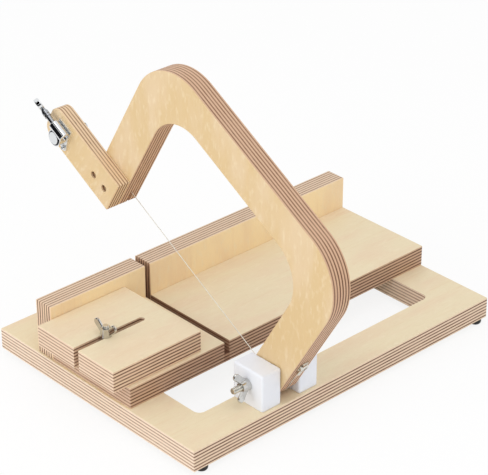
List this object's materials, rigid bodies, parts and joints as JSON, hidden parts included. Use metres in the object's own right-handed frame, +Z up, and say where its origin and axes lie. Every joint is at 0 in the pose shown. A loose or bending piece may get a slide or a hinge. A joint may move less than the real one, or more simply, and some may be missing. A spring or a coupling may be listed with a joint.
{
  "type": "wire soap cutter",
  "caption": "Plywood soap cutter: a hinged bow pulls a taut wire down through a slot in the bed and fence, with a sliding stop for the slice and a worm tuner for the wire.",
  "frame": {"origin": "on the table under the centre of the whole cutter's bounding box, with the bow at rest as pictured", "axes": "+X along the base's long side, from the stop's end to the free end; +Y from the hinge side to the handle side; +Z up"},
  "size_m": [0.326, 0.311, 0.2503],
  "materials": {
    "birch_plywood": "sanded and oiled birch plywood with layered edges",
    "white_nylon": "sawn white nylon with a soft sheen",
    "black_rubber": "moulded black rubber",
    "zinc_steel": "bright zinc plate",
    "cast_zinc": "cast and zinc plated, slightly dull",
    "screw_steel": "plated steel",
    "chrome": "polished chrome plate",
    "dark_ferrule": "dark plated, ringed",
    "gear_brass": "cut brass",
    "wire_steel": "drawn steel wire",
    "tinned_copper": "tinned, slightly dull"
  },
  "bodies": {
    "frame": {"base_board": "birch_plywood", "bed_board": "birch_plywood", "rear_fence": "birch_plywood", "rubber_feet": "black_rubber", "hinge_block_left": "white_nylon", "hinge_block_right": "white_nylon", "hinge_block_screws": "zinc_steel", "bed_screws": "zinc_steel", "fence_screws": "zinc_steel", "hinge_bolt": "zinc_steel", "stop_bolt": "zinc_steel"},
    "hinge_nut": {"hinge_wing_nut": "cast_zinc"},
    "stop": {"stop_block": "birch_plywood"},
    "stop_nut": {"stop_wing_nut": "cast_zinc"},
    "bow": {"arm_board": "birch_plywood", "handle_board": "birch_plywood", "handle_screws": "screw_steel", "anchor_screw": "screw_steel", "ring_terminal": "tinned_copper", "cutting_wire": "wire_steel", "tuner_housing": "chrome", "tuner_cover": "chrome", "tuner_fixing_screw": "chrome", "tuner_bushing": "chrome", "tuner_washer": "chrome"},
    "tuner_key": {"tuner_worm": "chrome", "tuner_ferrule": "dark_ferrule", "tuner_button": "chrome", "tuner_button_screw": "chrome"},
    "tuner_spindle": {"tuner_gear": "gear_brass", "tuner_post": "chrome"}
  },
  "joints": [
    {"name": "bow_hinge", "type": "hinge", "parent": "frame", "child": "bow", "pos_m": [-0.0545, -0.08952, 0.041], "axis": [1, 0, 0], "range_deg": [-29.7, 58]},
    {"name": "hinge_nut_turn", "type": "hinge", "parent": "frame", "child": "hinge_nut", "pos_m": [-0.0545, -0.08952, 0.041], "axis": [-1, 0, 0], "range_deg": [0, 360]},
    {"name": "stop_slide", "type": "slide", "parent": "frame", "child": "stop", "axis": [1, 0, 0], "range_m": [-0.034, 0.02]},
    {"name": "stop_nut_turn", "type": "hinge", "parent": "frame", "child": "stop_nut", "pos_m": [-0.1344, 0.00998, 0.0591], "axis": [0, 0, 1], "range_deg": [0, 360]},
    {"name": "tuner_key_turn", "type": "hinge", "parent": "bow", "child": "tuner_key", "pos_m": [-0.081, 0.12569, 0.16881], "axis": [0, 0.8616, 0.5075], "continuous": true},
    {"name": "tuner_spindle_turn", "type": "hinge", "parent": "bow", "child": "tuner_spindle", "pos_m": [-0.0755, 0.12935, 0.16261], "axis": [1, 0, 0], "continuous": true}
  ],
  "couplings": [
    {"joint": "tuner_spindle_turn", "follows": "tuner_key_turn", "ratio": 0.071429}
  ]
}
